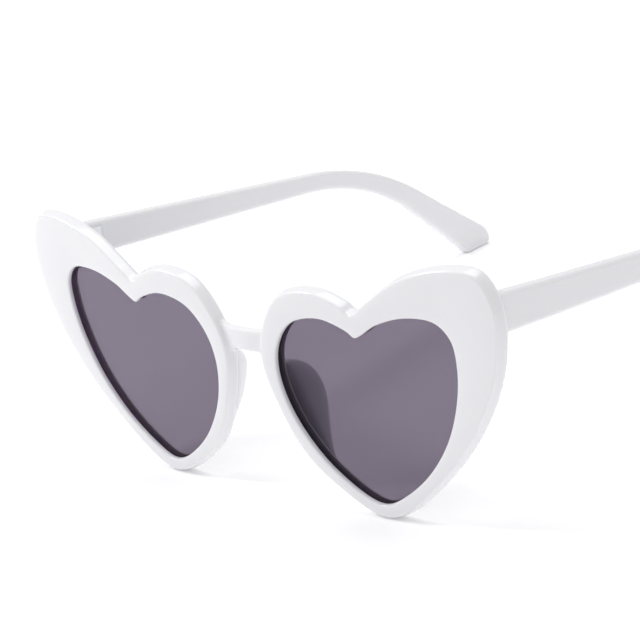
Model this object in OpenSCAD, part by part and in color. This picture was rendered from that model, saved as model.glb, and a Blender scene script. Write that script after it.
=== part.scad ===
/* [Heart openings] */
// Width of each lens opening
opening_w = 50.4; // [47:0.1:53]
// Height of each lens opening
opening_h = 43.7; // [40:0.1:45]
// Distance between the middles of the two openings
opening_pitch = 69.7; // [68:0.1:71]

/* [Rims] */
// Width of each heart, measured over its rim
heart_w = 66.9; // [64:0.1:69]
// Height of each heart, measured over its rim
heart_h = 58.4; // [56:0.1:62]
// Distance between the middles of the two hearts
heart_pitch = 77.1; // [76:0.1:79]
// How far the opening's middle lies below the heart's middle
opening_drop = 3.98; // [2.8:0.05:4.2]
// Thickness of the front, from face to back
rim_t = 3.3; // [3.2:0.1:4.4]
// Rounding of the rim's outer edge at the face
face_round = 0.5; // [0.3:0.05:1]
// Rounding of the rim's outer edge at the back
back_round = 1.4; // [0.6:0.1:1.6]
// How far the rim's outer side leans outwards from the face to the back
rim_draft = 0.4; // [0.1:0.05:0.6]
// Radius of the sphere that the face of the front follows
base_r = 569; // [400:1:800]

/* [Lenses] */
// Thickness of a lens
lens_t = 1.5; // [1.2:0.1:1.6]
// Distance of the lens behind the face of the rim
lens_recess = 1.1; // [0.5:0.1:1.1]
// Depth of the lens groove in the rim
groove_depth = 0.8; // [0.5:0.1:0.9]
// Clearance between the lens and its groove
lens_clear = 0.1; // [0.05:0.01:0.15]

/* [Bridge] */
// Height of the bridge in its middle
bridge_h = 5.4; // [4:0.1:7]
// Thickness of the bridge, front to back
bridge_t = 2.3; // [2:0.1:2.6]
// Set-back of the bridge's middle behind the face
bridge_setback = 0.7; // [0.5:0.1:0.8]
// Height of the bridge's middle above the middle of the hearts
bridge_rise = 7.4; // [6:0.05:9]
// How far the bridge bows forward in its middle
bridge_bow = 0.4; // [0.2:0.1:0.5]
// Growth of the bridge's height where it meets the rims
bridge_flare = 3; // [1:0.1:4]
// How far each end of the bridge reaches into its rim
bridge_bite = 2.4; // [1.8:0.1:3]

/* [Nose pads] */
// Height of a nose pad
pad_h = 22.5; // [20:0.5:26]
// Gap between the bridge and the top of a pad
pad_top_gap = 2; // [1.6:0.1:3]
// Reach of a nose pad behind the rim
pad_reach = 6.8; // [5:0.1:6.8]
// Thickness of a nose pad
pad_t = 4; // [3:0.1:4.4]
// How far a pad leans outwards towards its rear, as a part of its reach
pad_lean_share = 0.35; // [0.2:0.05:0.6]
// Gap left for the glue between a pad and the rim
pad_glue = 0.05; // [0.02:0.01:0.2]

/* [Temples] */
// Distance from the widest point of each heart in to the middle of its temple
temple_inset = 3.3; // [3:0.1:5]
// Height of the temple's middle above the middle of the hearts, at the hinge
temple_rise = 19.1; // [18:0.1:20]
// Thickness of a temple
temple_t = 3.5; // [3.2:0.1:4]
// Height of a temple at the hinge
temple_root_h = 8.7; // [7.5:0.1:9]
// Height of a temple at its waist, before the ear bend
temple_waist_h = 4.7; // [4:0.1:5.5]
// Height of a temple just above its tip
temple_tip_h = 9.8; // [8:0.1:11]
// Length of the straight stretch from the hinge to the ear bend
temple_straight = 79.5; // [70:0.5:85]
// Slope of the straight stretch below the horizontal
temple_slope = 8.6; // [6:0.1:10]
// Slope of the stretch below the ear bend
drop_slope = 43; // [36:0.5:50]
// Radius of the ear bend
bend_r = 65; // [60:1:80]
// How far the tip's rear end lies behind the end of the temple's middle line
tip_reach = 2.5; // [1.5:0.1:4]
// Radius of the turn from the temple's upper side to the tip's rear end
tip_shoulder_r = 4.7; // [3:0.1:6]
// Radius of the turn from the temple's lower side to the table
tip_toe_r = 3; // [2:0.1:5]
// Angle by which each temple runs inwards towards its tip
toe_in = 1.3; // [0:0.1:1.5]
// Rounding of a temple's long edges
temple_round = 1.1; // [0.4:0.1:1.3]
// Gap between the front end of a temple and the end piece
temple_gap = 0.15; // [0.1:0.01:0.3]

/* [Temple cores] */
// Thickness of the flat wire in each temple
core_t = 1.2; // [1:0.1:1.5]
// Height of the flat wire
core_h = 1.6; // [1.2:0.1:2]
// Clearance round the wire
core_clear = 0.08; // [0.04:0.01:0.15]
// Distance between the temple's front end and its wire
core_start = 0.9; // [0.6:0.1:1.5]
// Angle between the wire's straight stretch and the temple's middle line
core_tilt = 1.4; // [1.2:0.1:1.6]

/* [Hinges] */
// Diameter of a hinge knuckle
knuckle_d = 2.5; // [2.2:0.1:2.7]
// Height of one hinge knuckle
knuckle_h = 1.7; // [1.5:0.1:1.8]
// Gap between neighbouring knuckles
knuckle_gap = 0.08; // [0.05:0.01:0.15]
// Clearance between the knuckles and the plastic round them
knuckle_clear = 0.22; // [0.15:0.01:0.3]
// Thickness of a hinge leaf
leaf_t = 0.8; // [0.6:0.05:0.9]
// Length of the leaf on the front
front_leaf_l = 4.4; // [4:0.1:4.6]
// Length of the leaf on the temple
temple_leaf_l = 12.4; // [10:0.1:14]
// Distance between the temple's front end and its leaf
temple_leaf_start = 0.5; // [0.3:0.1:1]
// Plastic left beside the leaf in the end piece
end_wall = 1.2; // [0.8:0.1:1.6]
// Clearance round a leaf in its pocket
leaf_clear = 0.05; // [0.03:0.01:0.1]
// Diameter of the hinge screw's shank
hinge_screw_d = 1.2; // [1:0.05:1.4]
// Radial clearance of the hinge screw in the knuckles
hinge_screw_clear = 0.04; // [0.02:0.01:0.08]
// Diameter of the hinge screw's head
hinge_head_d = 2.1; // [1.9:0.1:2.3]
// Height of the hinge screw's head
hinge_head_h = 0.6; // [0.4:0.05:0.8]
// Diameter of a leaf screw's shank
leaf_screw_d = 0.9; // [0.8:0.05:1]
// Diameter of a leaf screw's head
leaf_head_d = 1.6; // [1.4:0.05:1.8]
// Reach of a leaf screw into the plastic
leaf_screw_reach = 1.2; // [1:0.1:1.4]
// Width and depth of the slot in each screw's head
slot_w = 0.3; // [0.2:0.05:0.4]

/* [Hidden] */

// Colours
white = "#f4f3f2";
smoke = "#75697a";
pearl = "#ebeae8";
steel = "#c4c6c8";

// Overrun of every cut
cut = 1;
// Sides of small round pieces and of the great spheres
round_fn = 48;
sphere_fn = 400;
// Points along each stretch of an outline
outline_steps = 4;

// Outline points of the left heart from its tip, up the outer side and down the nose side,
// as shares of the heart's width and height from its middle
rim_shares = [[-0.065, -0.499], [0.016, -0.465], [0.180, -0.321], [0.323, -0.155], [0.433, 0.035],
              [0.486, 0.201], [0.496, 0.360], [0.441, 0.481], [0.309, 0.496], [0.130, 0.441],
              [-0.018, 0.337], [-0.069, 0.302], [-0.107, 0.329], [-0.224, 0.367], [-0.371, 0.335],
              [-0.460, 0.222], [-0.500, 0.076], [-0.464, -0.107], [-0.372, -0.303], [-0.243, -0.422],
              [-0.141, -0.486]];
// The same points on the opening, as shares of the opening's width and height
opening_shares = [[-0.017, -0.497], [0.081, -0.445], [0.243, -0.306], [0.379, -0.118], [0.462, 0.083],
                  [0.498, 0.268], [0.489, 0.407], [0.424, 0.484], [0.275, 0.495], [0.108, 0.441],
                  [0.020, 0.382], [-0.012, 0.367], [-0.050, 0.394], [-0.198, 0.441], [-0.372, 0.396],
                  [-0.471, 0.270], [-0.500, 0.119], [-0.460, -0.078], [-0.342, -0.285],
                  [-0.192, -0.429], [-0.080, -0.493]];
// The outline point from which the nose side only falls
nose_side_start = 13;

function blend(a, b, t) = a + (b - a) * t;
function unit(v) = v / norm(v);

// Smooth curve from b to c, with a before b and d after c
function curve_point(a, b, c, d, t) =
    let (t1 = sqrt(norm(b - a)), t2 = t1 + sqrt(norm(c - b)), t3 = t2 + sqrt(norm(d - c)),
         u = blend(t1, t2, t),
         ab = blend(a, b, u / t1), bc = blend(b, c, (u - t1) / (t2 - t1)),
         cd = blend(c, d, (u - t2) / (t3 - t2)),
         abc = blend(ab, bc, u / t2), bcd = blend(bc, cd, (u - t1) / (t3 - t1)))
    blend(abc, bcd, (u - t1) / (t2 - t1));

function closed_curve(p) =
    let (n = len(p))
    [for (i = [0:n - 1], j = [0:outline_steps - 1])
        curve_point(p[(i + n - 1) % n], p[i], p[(i + 1) % n], p[(i + 2) % n], j / outline_steps)];

function placed(shares, x, z, w, h) = [for (s = shares) [x + s[0] * w, z + s[1] * h]];

// Height of the middle of the hearts above the table, on which their lowest points stand
mid_z = -min([for (p = closed_curve(placed(rim_shares, 0, 0, heart_w, heart_h))) p[1]]);

// Outward directions along a closed outline
function normals(p) =
    let (n = len(p))
    [for (i = [0:n - 1]) let (t = unit(p[(i + 1) % n] - p[(i + n - 1) % n])) [t[1], -t[0]]];

rim_line = closed_curve(placed(rim_shares, heart_pitch / 2, mid_z, heart_w, heart_h));
opening_line = closed_curve(placed(opening_shares, opening_pitch / 2, mid_z - opening_drop,
                                   opening_w, opening_h));
rim_normals = normals(rim_line);
opening_normals = normals(opening_line);

// Distance behind the face's foremost point, of a point at a depth below the face
function face_y(x, z, depth) = base_r - sqrt(pow(base_r - depth, 2) - x * x - pow(z - mid_z, 2));
function on_face(p, depth) = [p[0], face_y(p[0], p[1], depth), p[1]];

// Where the nose side of an outline lies at a height
function nose_x(line, z) =
    [for (i = [nose_side_start * outline_steps:len(line) - 2])
        if (line[i][1] >= z && line[i + 1][1] < z)
            blend(line[i][0], line[i + 1][0], (line[i][1] - z) / (line[i][1] - line[i + 1][1]))][0];

// Steps of each rounded edge of the rim
round_steps = 3;
groove_front = lens_recess - lens_clear;
groove_back = lens_recess + lens_t + lens_clear;

// One cross-section of the rim, from the opening's front edge round to the face
function rim_section(i) =
    let (w = rim_line[i], nw = rim_normals[i], o = opening_line[i], no = opening_normals[i],
         bottom = o + no * groove_depth)
    concat(
        [on_face(o, 0), on_face(o, groove_front), on_face(bottom, groove_front),
         on_face(bottom, groove_back), on_face(o, groove_back), on_face(o, rim_t)],
        [for (k = [0:round_steps]) let (a = 90 * k / round_steps)
            on_face(w - nw * back_round * (1 - sin(a)), rim_t - back_round * (1 - cos(a)))],
        [for (k = [0:round_steps]) let (a = 90 * k / round_steps)
            on_face(w - nw * (rim_draft + face_round * (1 - cos(a))), face_round * (1 - sin(a)))]);

// Skin over a list of rings, closed into a loop
module ring_skin(rings) {
    n = len(rings);
    m = len(rings[0]);
    polyhedron(points = [for (r = rings) each r],
               faces = [for (i = [0:n - 1], j = [0:m - 1])
                   let (a = i * m + j, b = i * m + (j + 1) % m,
                        c = ((i + 1) % n) * m + (j + 1) % m, d = ((i + 1) % n) * m + j)
                   each [[a, b, c], [a, c, d]]]);
}

// Skin over a list of rings, with a flat cap at both ends
module capped_skin(rings) {
    n = len(rings);
    m = len(rings[0]);
    polyhedron(points = [for (r = rings) each r],
               faces = concat(
                   [[for (j = [m - 1:-1:0]) j]],
                   [[for (j = [0:m - 1]) (n - 1) * m + j]],
                   [for (i = [0:n - 2], j = [0:m - 1])
                       let (a = i * m + j, b = i * m + (j + 1) % m,
                            c = (i + 1) * m + (j + 1) % m, d = (i + 1) * m + j)
                       each [[a, b, c], [a, c, d]]]));
}

// Rounded rectangle round the origin, as seen along a piece
function rounded_section(w, h, r) =
    [for (q = [0:3], k = [0:2])
        let (a = 90 * q + 45 * k, sx = (q == 0 || q == 3) ? 1 : -1, sy = q < 2 ? 1 : -1)
        [sx * (w / 2 - r) + r * cos(a), sy * (h / 2 - r) + r * sin(a)]];

// Bridge
bridge_z = mid_z + bridge_rise;
bridge_end_x = nose_x(rim_line, bridge_z) + bridge_bite;
bridge_steps = 6;
bridge_round_share = 0.38;

function bridge_ring(x) =
    let (e = pow(abs(x) / bridge_end_x, 2), h = bridge_h + bridge_flare * e * e,
         y = bridge_setback + bridge_t / 2 + bridge_bow * e)
    [for (p = rounded_section(bridge_t, h, bridge_t * bridge_round_share)) [x, y + p[0], bridge_z + p[1]]];

// Hinge placing, on the left side
temple_x = (heart_pitch + heart_w) / 2 - temple_inset;
temple_z = mid_z + temple_rise;
temple_in_x = temple_x - temple_t / 2;
temple_out_x = temple_x + temple_t / 2;
knuckle_r = knuckle_d / 2;
hinge_h = 3 * knuckle_h + 2 * knuckle_gap;
leaf_h = hinge_h;
hinge_x = temple_in_x - knuckle_r - knuckle_clear;
end_h = temple_root_h + 2 * temple_gap;
end_out_x = temple_out_x;
end_in_x = hinge_x - front_leaf_l - leaf_clear - end_wall;
end_y = face_y(end_out_x, temple_z + end_h / 2, rim_t) + temple_gap;
hinge_y = end_y + knuckle_r + knuckle_clear;
temple_y = end_y + temple_gap;

// Temple path in the side view: a straight stretch, the ear bend and the drop
arc_l = bend_r * (drop_slope - temple_slope) * PI / 180;
bend_y = temple_y + temple_straight * cos(temple_slope);
bend_z = temple_z - temple_straight * sin(temple_slope);
bend_end_y = bend_y + bend_r * (sin(drop_slope) - sin(temple_slope));
bend_end_z = bend_z - bend_r * (cos(temple_slope) - cos(drop_slope));
drop_l = bend_end_z / sin(drop_slope);

// How late the height grows between the waist and the tip, 1 growing evenly
spread_power = 2.5;

function slope_at(s) =
    s < temple_straight ? temple_slope
    : s < temple_straight + arc_l ? temple_slope + (s - temple_straight) / bend_r * 180 / PI
    : drop_slope;
function path_at(s) =
    s < temple_straight
        ? [temple_y + s * cos(temple_slope), temple_z - s * sin(temple_slope)]
    : s < temple_straight + arc_l
        ? let (a = slope_at(s))
          [bend_y + bend_r * (sin(a) - sin(temple_slope)), bend_z - bend_r * (cos(temple_slope) - cos(a))]
    : let (d = s - temple_straight - arc_l)
      [bend_end_y + d * cos(drop_slope), bend_end_z - d * sin(drop_slope)];
function temple_h_at(s) =
    s < temple_straight
        ? blend(temple_root_h, temple_waist_h, s / temple_straight)
        : blend(temple_waist_h, temple_tip_h, pow((s - temple_straight) / (arc_l + drop_l), spread_power));

// One cross-section of a temple: its middle, its lean from the vertical and its size
most_round_share = 0.45;
function temple_ring(c, lean, h, w) =
    [for (p = rounded_section(w, h, min(temple_round, w * most_round_share)))
        [temple_x - (c[0] - temple_y) * tan(toe_in) + p[0],
         c[0] + p[1] * sin(lean), c[1] + p[1] * cos(lean)]];

straight_steps = 8;
bend_steps = 10;
drop_steps = 4;

// Tip outline in the side view, from where the temple's sides run straight on: the upper side goes
// over the shoulder and the heel onto the table, the lower side over the toe
tip_start_share = 0.4;
line_steps = 4;
arc_steps = 4;
tip_start = temple_straight + arc_l + drop_l * tip_start_share;
grow_share = 0.01;
grow_l = drop_l * grow_share;
side_turn = atan((temple_h_at(tip_start) - temple_h_at(tip_start - grow_l)) / (2 * grow_l));
upper_slope = drop_slope - side_turn;
lower_slope = drop_slope + side_turn;
tip_half = temple_h_at(tip_start) / 2 * [sin(drop_slope), cos(drop_slope)];
upper_start = path_at(tip_start) + tip_half;
lower_start = path_at(tip_start) - tip_half;
heel_y = path_at(temple_straight + arc_l + drop_l)[0] + tip_reach;
shoulder_y = heel_y - tip_shoulder_r * (1 - sin(upper_slope));
shoulder_z = upper_start[1] - (shoulder_y - upper_start[0]) * tan(upper_slope);
heel_r = shoulder_z - tip_shoulder_r * cos(upper_slope);
toe_y = lower_start[0] + lower_start[1] / tan(lower_slope) + tip_toe_r * tan(lower_slope / 2);

function round_point(c, r, a) = [c[0] + r * sin(a), c[1] + r * cos(a)];

upper_tip = concat(
    [for (i = [1:line_steps]) blend(upper_start, [shoulder_y, shoulder_z], i / line_steps)],
    [for (i = [1:arc_steps])
        round_point([heel_y - tip_shoulder_r, heel_r], tip_shoulder_r,
                    blend(upper_slope, 90, i / arc_steps))],
    [for (i = [1:arc_steps]) round_point([heel_y - heel_r, heel_r], heel_r, 90 + 90 * i / arc_steps)]);
toe_steps = 2 * arc_steps;
toe_start = round_point([toe_y, tip_toe_r], tip_toe_r, 180 + lower_slope);
lower_tip = concat(
    [for (i = [1:line_steps]) blend(lower_start, toe_start, i / line_steps)],
    [for (i = [1:toe_steps])
        round_point([toe_y, tip_toe_r], tip_toe_r, 180 + lower_slope * (1 - i / toe_steps))]);

// Rounding of the tip's sides towards the table, as a share of that of the long edges
tip_side_share = 0.6;

temple_rings = concat(
    [temple_ring(path_at(0), 0, temple_root_h, temple_t)],
    [for (i = [1:straight_steps]) let (s = temple_straight * i / straight_steps)
        temple_ring(path_at(s), temple_slope * min(1, 2 * i / straight_steps), temple_h_at(s), temple_t)],
    [for (i = [1:bend_steps]) let (s = temple_straight + arc_l * i / bend_steps)
        temple_ring(path_at(s), slope_at(s), temple_h_at(s), temple_t)],
    [for (i = [1:drop_steps]) let (s = temple_straight + arc_l + drop_l * tip_start_share * i / drop_steps)
        temple_ring(path_at(s), drop_slope, temple_h_at(s), temple_t)],
    [for (i = [0:len(upper_tip) - 1])
        let (u = upper_tip[i], v = lower_tip[i], across = u - v,
             low = max(0, i + 1 - len(upper_tip) + arc_steps) / arc_steps,
             inset = temple_round * tip_side_share * (1 - cos(90 * low)))
        temple_ring((u + v) / 2, atan2(across[0], across[1]), norm(across), temple_t - 2 * inset)]);

// Everything is drawn with the face's foremost point at y = 0 and moved so that the origin is
// below the middle of the whole object
front_y = min([for (i = [0:len(rim_line) - 1], p = rim_section(i)) p[1]]);
rear_y = max([for (ring = temple_rings, p = ring) p[1]]);
depth_mid = (front_y + rear_y) / 2;

module placed_left() {
    translate([0, -depth_mid, 0]) children();
}
module placed_right() {
    translate([0, -depth_mid, 0]) mirror([1, 0, 0]) children();
}

// Hinge knuckles count from 0 at the bottom to 2 at the top
knuckle_pitch = knuckle_h + knuckle_gap;
bore_r = hinge_screw_d / 2 + hinge_screw_clear;
web_share = 0.5;

module knuckle(i) {
    translate([hinge_x, hinge_y, temple_z - hinge_h / 2 + i * knuckle_pitch])
        cylinder(h = knuckle_h, r = knuckle_r, $fn = round_fn);
}

module knuckle_bore() {
    translate([hinge_x, hinge_y, temple_z - hinge_h / 2 - cut])
        cylinder(h = hinge_h + 2 * cut, r = bore_r, $fn = round_fn);
}

// A frame along the temple's straight stretch, its root at the origin
module along_temple() {
    translate([temple_in_x, temple_y, temple_z]) rotate([-temple_slope, 0, 0]) children();
}

// Leaf screws, drawn along +Z with the head's flat top at the origin's height and the shank below
leaf_head_h = (leaf_head_d - leaf_screw_d) / 2;
leaf_screw_l = leaf_t + leaf_screw_reach;
screw_clear = leaf_clear / 2;

module leaf_screw_body(grow, over) {
    r = leaf_screw_d / 2 + grow;
    translate([0, 0, -leaf_screw_l - grow]) cylinder(h = leaf_screw_l + 2 * grow, r = r, $fn = round_fn);
    translate([0, 0, -leaf_head_h]) cylinder(h = leaf_head_h, r1 = r, r2 = r + leaf_head_h, $fn = round_fn);
    if (over > 0) cylinder(h = over, r = r + leaf_head_h, $fn = round_fn);
}

module leaf_screw() {
    difference() {
        leaf_screw_body(0, 0);
        translate([-leaf_head_d / 2 - cut, -slot_w / 2, -slot_w])
            cube([leaf_head_d + 2 * cut, slot_w, slot_w + cut]);
    }
}

// Places of the two screws in each leaf
front_screw_spread_share = 0.27;
front_screw_x = hinge_x - knuckle_r - (front_leaf_l - knuckle_r) / 2;
temple_screw_shares = [0.34, 0.8];
temple_screw_rise_share = 0.17;

module at_front_screws() {
    for (side = [-1, 1])
        translate([front_screw_x, end_y, temple_z + side * front_screw_spread_share * leaf_h])
            rotate([-90, 0, 0]) children();
}

module at_temple_screws() {
    along_temple()
        for (share = temple_screw_shares)
            translate([0, temple_leaf_start + share * temple_leaf_l, temple_screw_rise_share * leaf_h])
                rotate([0, -90, 0]) children();
}

// Front: two heart rims, the bridge and the end pieces
module rim() {
    ring_skin([for (i = [0:len(rim_line) - 1]) rim_section(i)]);
}

module bridge() {
    capped_skin([for (i = [-bridge_steps:bridge_steps]) bridge_ring(-bridge_end_x * i / bridge_steps)]);
}

end_face_y = face_y(end_in_x, temple_z, (groove_back + rim_t) / 2);

module end_piece() {
    translate([end_in_x, end_face_y, temple_z - end_h / 2])
        cube([end_out_x - end_in_x, end_y - end_face_y, end_h]);
}

module front_leaf_pocket() {
    translate([hinge_x - front_leaf_l - leaf_clear, end_y - leaf_t - leaf_clear,
               temple_z - leaf_h / 2 - leaf_clear])
        cube([front_leaf_l + 2 * leaf_clear, leaf_t + leaf_clear + cut, leaf_h + 2 * leaf_clear]);
}

module front_half() {
    difference() {
        union() {
            rim();
            end_piece();
        }
        front_leaf_pocket();
        at_front_screws() leaf_screw_body(screw_clear, 0);
    }
}

module front_frame() {
    color(white) {
        placed_left() front_half();
        placed_right() front_half();
        placed_left() bridge();
    }
}

// Lenses
lens_line = [for (i = [0:len(opening_line) - 1])
    opening_line[i] + opening_normals[i] * (groove_depth - lens_clear)];

module face_sphere(depth) {
    translate([0, base_r, mid_z]) sphere(r = base_r - depth, $fn = sphere_fn);
}

module lens() {
    intersection() {
        translate([0, base_r / 2, 0]) rotate([90, 0, 0]) linear_extrude(height = base_r) polygon(lens_line);
        difference() {
            face_sphere(lens_recess);
            face_sphere(lens_recess + lens_t);
        }
    }
}

module left_lens() {
    color(smoke) placed_left() lens();
}

module right_lens() {
    color(smoke) placed_right() lens();
}

// Nose pads: height from the top, reach and thickness, as shares of the pad's own
pad_shares = [[0, 0.3, 0.5], [0.05, 0.62, 0.72], [0.12, 0.85, 0.9], [0.22, 0.98, 1], [0.35, 1, 1],
              [0.48, 0.88, 1], [0.6, 0.7, 1], [0.72, 0.5, 0.9], [0.84, 0.28, 0.8], [0.93, 0.12, 0.6],
              [1, 0.03, 0.4]];
pad_top_z = bridge_z - bridge_h / 2 - pad_top_gap;
pad_round_steps = 6;
pad_fullness = 0.8;
pad_edge_share = 0.6;

function pad_ring(s) =
    let (z = pad_top_z - s[0] * pad_h, reach = s[1] * pad_reach,
         start = nose_x(rim_line, z) + back_round * pad_edge_share, half = s[2] * pad_t / 2,
         middle = start + pad_t / 2)
    [for (k = [0:pad_round_steps])
        let (a = 180 * k / pad_round_steps, d = reach * pow(sin(a), pad_fullness),
             x = middle + half * cos(a) + pad_lean_share * d)
        [x, face_y(x, z, rim_t) + pad_glue + d, z]];

module nose_pad() {
    capped_skin([for (s = pad_shares) pad_ring(s)]);
}

module left_nose_pad() {
    color(pearl) placed_left() nose_pad();
}

module right_nose_pad() {
    color(pearl) placed_right() nose_pad();
}

// Front leaf with its two outer knuckles
module front_hinge() {
    difference() {
        union() {
            translate([hinge_x - front_leaf_l, end_y - leaf_t, temple_z - leaf_h / 2])
                cube([front_leaf_l, leaf_t, leaf_h]);
            for (i = [0, 2]) {
                knuckle(i);
                translate([hinge_x - knuckle_r, end_y - leaf_t, temple_z - hinge_h / 2 + i * knuckle_pitch])
                    cube([knuckle_r, hinge_y - end_y + leaf_t, knuckle_h]);
            }
        }
        knuckle_bore();
        at_front_screws() leaf_screw_body(screw_clear, cut);
    }
}

module left_front_hinge() {
    color(steel) placed_left() front_hinge();
}

module right_front_hinge() {
    color(steel) placed_right() front_hinge();
}

// Hinge screw, put in from above
hinge_head_gap = knuckle_gap / 2;

module hinge_screw() {
    top = temple_z + hinge_h / 2 + hinge_head_gap;
    translate([hinge_x, hinge_y, 0]) {
        translate([0, 0, temple_z - hinge_h / 2])
            cylinder(h = top - temple_z + hinge_h / 2 + hinge_head_h / 2, r = hinge_screw_d / 2,
                     $fn = round_fn);
        difference() {
            translate([0, 0, top]) cylinder(h = hinge_head_h, r = hinge_head_d / 2, $fn = round_fn);
            translate([-hinge_head_d / 2 - cut, -slot_w / 2, top + hinge_head_h - slot_w])
                cube([hinge_head_d + 2 * cut, slot_w, slot_w + cut]);
        }
    }
}

module left_hinge_screw() {
    color(steel) placed_left() hinge_screw();
}

module right_hinge_screw() {
    color(steel) placed_right() hinge_screw();
}

module left_front_leaf_screws() {
    color(steel) placed_left() at_front_screws() leaf_screw();
}

module right_front_leaf_screws() {
    color(steel) placed_right() at_front_screws() leaf_screw();
}

// Flat wire down the middle of the temple, tilted to pass below the leaf screws
wire_slope = temple_slope - core_tilt;
wire_bend_y = bend_y - temple_y - bend_r * sin(temple_slope);
wire_bend_z = bend_z - bend_r * cos(temple_slope);
wire_straight = (wire_bend_y + bend_r * sin(wire_slope) - core_start) / cos(wire_slope);
wire_end_share = 0.62;
wire_steps = 8;

function wire_edge(side, front, rear) =
    let (r = bend_r + side)
    concat(
        [[wire_bend_y + r * sin(wire_slope) - (wire_straight + front) * cos(wire_slope),
          wire_bend_z + r * cos(wire_slope) + (wire_straight + front) * sin(wire_slope)]],
        [for (i = [0:wire_steps]) let (a = blend(wire_slope, drop_slope, i / wire_steps))
            [wire_bend_y + r * sin(a), wire_bend_z + r * cos(a)]],
        [[wire_bend_y + r * sin(drop_slope) + (drop_l * wire_end_share + rear) * cos(drop_slope),
          wire_bend_z + r * cos(drop_slope) - (drop_l * wire_end_share + rear) * sin(drop_slope)]]);

module wire(grow, front) {
    upper = wire_edge(core_h / 2 + grow, front, grow);
    lower = wire_edge(-core_h / 2 - grow, front, grow);
    last = len(lower) - 1;
    translate([temple_x, temple_y, 0]) rotate([0, 0, toe_in]) rotate([90, 0, 90])
        translate([0, 0, -core_t / 2 - grow])
            linear_extrude(height = core_t + 2 * grow)
                polygon(concat(upper, [for (i = [last:-1:0]) lower[i]]));
}

module left_temple_core() {
    color(steel) placed_left() wire(0, 0);
}

module right_temple_core() {
    color(steel) placed_right() wire(0, 0);
}

// Temple with its leaf pocket, screw holes and wire channel
module temple_leaf_pocket() {
    over = temple_leaf_start + cut;
    along_temple()
        translate([-cut, -over, -leaf_h / 2 - leaf_clear])
            cube([leaf_t + leaf_clear + cut, over + temple_leaf_start + temple_leaf_l + leaf_clear,
                  leaf_h + 2 * leaf_clear]);
}

module temple() {
    difference() {
        capped_skin(temple_rings);
        temple_leaf_pocket();
        at_temple_screws() leaf_screw_body(screw_clear, 0);
        wire(core_clear, core_start + cut);
    }
}

module left_temple() {
    color(white) placed_left() temple();
}

module right_temple() {
    color(white) placed_right() temple();
}

// Temple leaf with the middle knuckle
module temple_hinge() {
    difference() {
        union() {
            along_temple()
                translate([0, temple_leaf_start, -leaf_h / 2]) cube([leaf_t, temple_leaf_l, leaf_h]);
            knuckle(1);
            translate([hinge_x, hinge_y - knuckle_r * web_share, temple_z - knuckle_h / 2])
                cube([temple_in_x + leaf_t / 2 - hinge_x, knuckle_r * (1 + web_share), knuckle_h]);
        }
        knuckle_bore();
        at_temple_screws() leaf_screw_body(screw_clear, cut);
    }
}

module left_temple_hinge() {
    color(steel) placed_left() temple_hinge();
}

module right_temple_hinge() {
    color(steel) placed_right() temple_hinge();
}

module left_temple_leaf_screws() {
    color(steel) placed_left() at_temple_screws() leaf_screw();
}

module right_temple_leaf_screws() {
    color(steel) placed_right() at_temple_screws() leaf_screw();
}

front_frame();
left_lens();
right_lens();
left_nose_pad();
right_nose_pad();
left_front_hinge();
right_front_hinge();
left_hinge_screw();
right_hinge_screw();
left_front_leaf_screws();
right_front_leaf_screws();
left_temple();
right_temple();
left_temple_core();
right_temple_core();
left_temple_hinge();
right_temple_hinge();
left_temple_leaf_screws();
right_temple_leaf_screws();
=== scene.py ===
import math
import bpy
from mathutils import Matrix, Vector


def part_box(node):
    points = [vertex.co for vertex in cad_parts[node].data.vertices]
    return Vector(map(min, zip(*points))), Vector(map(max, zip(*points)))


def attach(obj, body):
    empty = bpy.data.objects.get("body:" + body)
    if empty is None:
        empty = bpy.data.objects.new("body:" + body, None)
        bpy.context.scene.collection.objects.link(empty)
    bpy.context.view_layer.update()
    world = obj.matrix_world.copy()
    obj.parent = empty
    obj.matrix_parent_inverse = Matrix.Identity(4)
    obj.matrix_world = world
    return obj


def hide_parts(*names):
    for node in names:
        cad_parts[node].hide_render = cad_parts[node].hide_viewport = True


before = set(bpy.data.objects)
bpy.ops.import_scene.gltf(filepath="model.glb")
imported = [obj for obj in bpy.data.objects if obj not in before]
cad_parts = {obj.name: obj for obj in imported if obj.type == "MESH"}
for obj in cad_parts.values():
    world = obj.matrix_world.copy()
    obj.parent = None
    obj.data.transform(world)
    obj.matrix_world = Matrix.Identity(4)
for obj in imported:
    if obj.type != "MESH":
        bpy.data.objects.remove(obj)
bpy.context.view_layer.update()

from types import SimpleNamespace

import bmesh
import bpy
from bpy.props import FloatProperty, FloatVectorProperty, PointerProperty
from mathutils import Matrix, Vector

bl_info = {
    "name": "Heart sunglasses",
    "version": (1, 0, 0),
    "blender": (4, 5, 0),
    "location": "3D View > Sidebar > Glasses",
    "description": "Builds heart shaped sunglasses in white plastic round their CAD frame",
    "category": "Add Mesh",
}

MM = 1000.0  # the pieces are shaped in millimetres and brought to metres at the end
TOUCH = 1e-4  # corners closer than this count as one
FLAT = 0.98  # least cosine between a direction and the normal of a face that looks that way
SIDES = ((1, "left"), (-1, "right"))

# Outline of the left heart from its tip, up the outer side and down the nose side,
# as shares of its width and height from its middle
RIM_SHARES = (
    (-0.065, -0.499), (0.016, -0.465), (0.180, -0.321), (0.323, -0.155), (0.433, 0.035), (0.486, 0.201),
    (0.496, 0.360), (0.441, 0.481), (0.309, 0.496), (0.130, 0.441), (-0.018, 0.337), (-0.069, 0.302),
    (-0.107, 0.329), (-0.224, 0.367), (-0.371, 0.335), (-0.460, 0.222), (-0.500, 0.076), (-0.464, -0.107),
    (-0.372, -0.303), (-0.243, -0.422), (-0.141, -0.486))
NOSE_SIDE_START = 13  # the point of the outline where its nose side starts
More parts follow.
